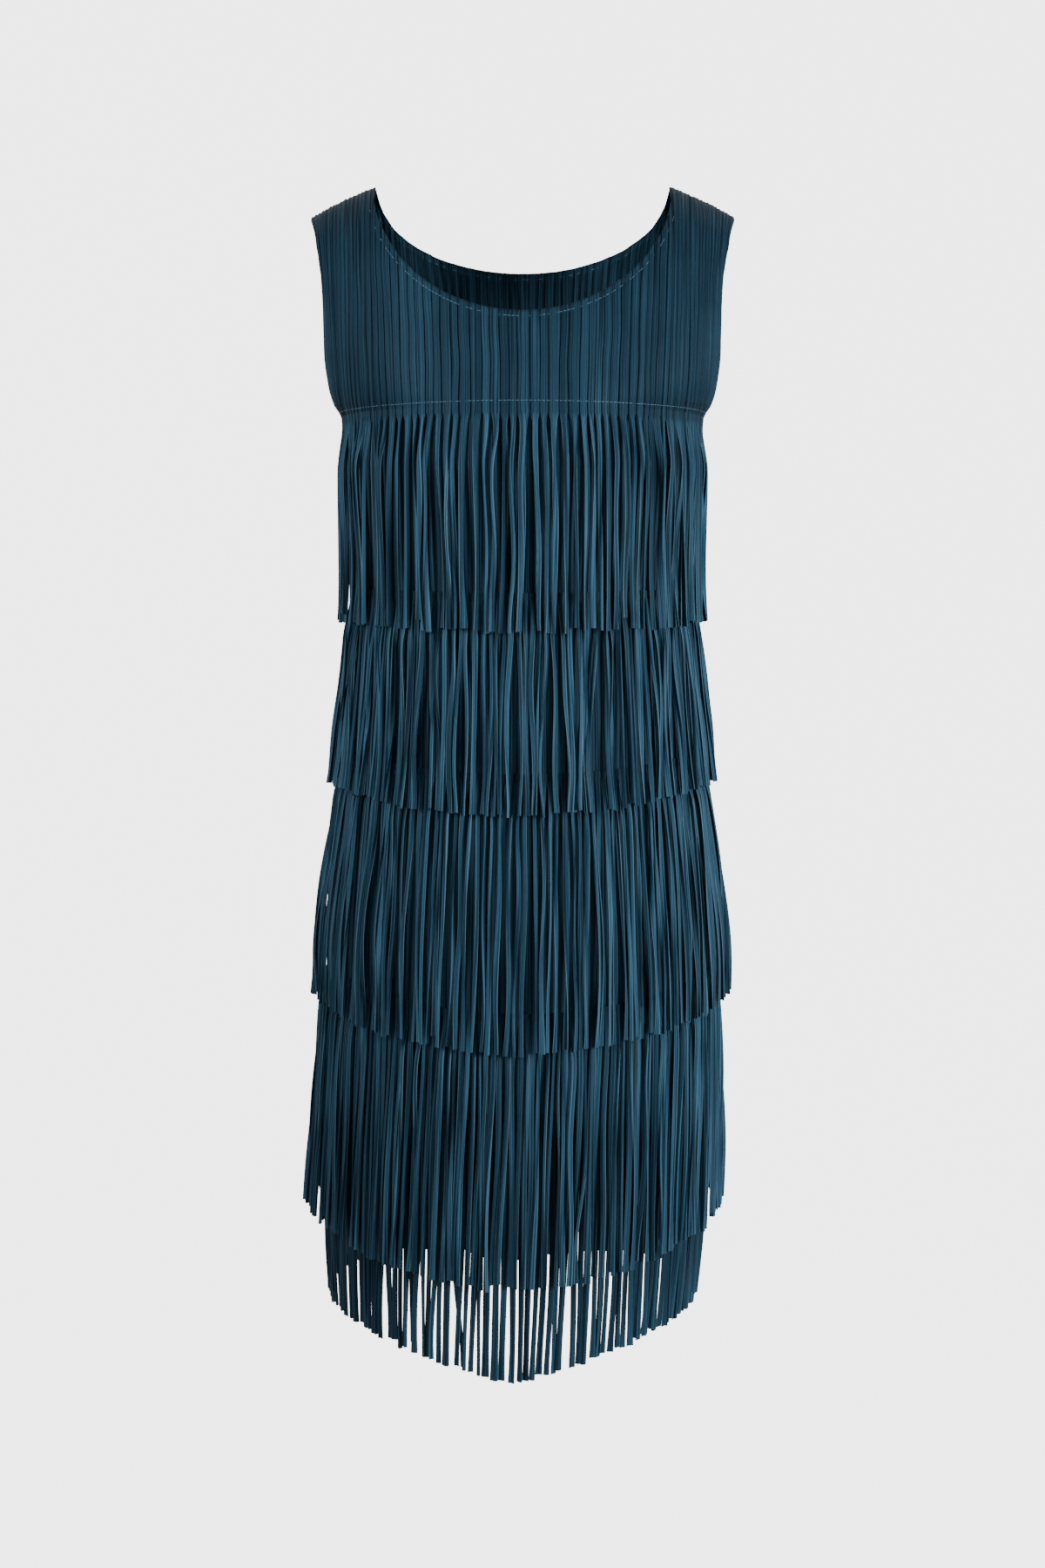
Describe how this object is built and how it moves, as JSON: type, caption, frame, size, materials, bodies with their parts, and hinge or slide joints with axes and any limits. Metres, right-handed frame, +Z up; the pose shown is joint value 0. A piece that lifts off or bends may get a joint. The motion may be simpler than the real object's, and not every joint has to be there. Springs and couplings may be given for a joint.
{
  "type": "sleeveless fringed shift dress",
  "caption": "Sleeveless knee-length shift dress in finely pleated teal cloth with a scoop neck and five tiers of long cut fringe, hollow as worn",
  "frame": {"origin": "midway between the two shoulder seams, where the wearer's shoulders hold the dress up", "axes": "+Z up, -Y towards the wearer's front, +X towards the wearer's left"},
  "size_m": [0.3537, 0.2806, 0.943],
  "materials": {
    "pleated_cloth": "heat-set fine pleats in dull teal polyester crepe with a soft sheen on the crests",
    "fringe_cloth": "the same pleated cloth cut into narrow creased strands"
  },
  "bodies": {
    "root": {"front_yoke": "pleated_cloth", "back_yoke": "pleated_cloth", "front_skirt": "pleated_cloth", "back_skirt": "pleated_cloth", "front_fringe_1": "fringe_cloth", "front_fringe_2": "fringe_cloth", "front_fringe_3": "fringe_cloth", "front_fringe_4": "fringe_cloth", "front_fringe_5": "fringe_cloth", "back_fringe_1": "fringe_cloth", "back_fringe_2": "fringe_cloth", "back_fringe_3": "fringe_cloth", "back_fringe_4": "fringe_cloth", "back_fringe_5": "fringe_cloth"}
  },
  "joints": []
}
